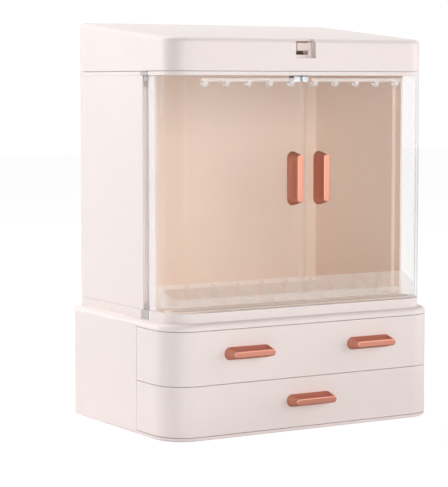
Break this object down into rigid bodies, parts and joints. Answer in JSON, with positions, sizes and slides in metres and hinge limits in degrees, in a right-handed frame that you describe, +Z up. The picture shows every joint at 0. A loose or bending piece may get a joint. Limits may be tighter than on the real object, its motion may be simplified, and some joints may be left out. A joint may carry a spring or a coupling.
{
  "type": "dustproof makeup organizer",
  "caption": "Tabletop cosmetics cabinet with a sloping hinged lid, clear wrap-round corner doors, a divided tray inside and wrap-round drawers below.",
  "frame": {"origin": "middle of the flat underside, halfway between the base's sides and halfway between its front and back faces", "axes": "+X to the right as seen from the front, +Y to the back, +Z up; the doors, drawers and pulls face -Y"},
  "size_m": [0.287, 0.2043, 0.3656],
  "materials": {
    "white_plastic": "satin",
    "tan_lining": "matte",
    "clear_plastic": "gloss",
    "rose_copper": "satin",
    "steel": "satin",
    "grey_plastic": "matte",
    "dark_plastic": "matte",
    "beige_plastic": "satin"
  },
  "bodies": {
    "carcass": {"base_shell": "white_plastic", "base_floor": "white_plastic", "drawer_shelf": "white_plastic", "floor_screws": "steel", "cabinet_shell": "white_plastic", "cabinet_liner": "tan_lining", "cabinet_screws": "steel", "top_frame": "white_plastic", "compartment_tray": "clear_plastic", "left_hinge_brackets": "grey_plastic", "right_hinge_brackets": "grey_plastic", "catch_housing": "dark_plastic", "catch_magnets": "steel", "latch_strike": "white_plastic", "lid_hinge_pins": "steel"},
    "left_door": {"left_door_panel": "clear_plastic", "left_hook_rail": "clear_plastic", "left_door_pull": "rose_copper", "left_pull_screws": "steel", "left_strike_plate": "steel", "left_hinge_pins": "steel"},
    "right_door": {"right_door_panel": "clear_plastic", "right_hook_rail": "clear_plastic", "right_door_pull": "rose_copper", "right_pull_screws": "steel", "right_strike_plate": "steel", "right_hinge_pins": "steel"},
    "lid": {"lid_shell": "white_plastic", "latch_insert": "beige_plastic", "latch_pin": "steel", "latch_spring": "steel"},
    "latch": {"latch_lever": "beige_plastic"},
    "upper_drawer": {"upper_drawer_box": "white_plastic", "upper_drawer_front": "white_plastic", "upper_left_pull": "rose_copper", "upper_right_pull": "rose_copper", "upper_pull_screws": "steel"},
    "lower_drawer": {"lower_drawer_box": "white_plastic", "lower_drawer_front": "white_plastic", "lower_pull": "rose_copper", "lower_pull_screws": "steel"}
  },
  "joints": [
    {"name": "left_door_hinge", "type": "hinge", "parent": "carcass", "child": "left_door", "pos_m": [-0.134, -0.0348, 0.214], "axis": [0, 0, -1], "range_deg": [0, 105]},
    {"name": "right_door_hinge", "type": "hinge", "parent": "carcass", "child": "right_door", "pos_m": [0.134, -0.0348, 0.214], "axis": [0, 0, 1], "range_deg": [0, 105]},
    {"name": "lid_hinge", "type": "hinge", "parent": "carcass", "child": "lid", "pos_m": [0, 0.0958, 0.32], "axis": [-1, 0, 0], "range_deg": [0, 100]},
    {"name": "latch_press", "type": "hinge", "parent": "lid", "child": "latch", "pos_m": [0, -0.0722, 0.3345], "axis": [-1, 0, 0], "range_deg": [0, 8], "stiffness_Nm_per_rad": 0.06},
    {"name": "upper_drawer_slide", "type": "slide", "parent": "carcass", "child": "upper_drawer", "axis": [0, -1, 0], "range_m": [0, 0.11]},
    {"name": "lower_drawer_slide", "type": "slide", "parent": "carcass", "child": "lower_drawer", "axis": [0, -1, 0], "range_m": [0, 0.11]}
  ]
}
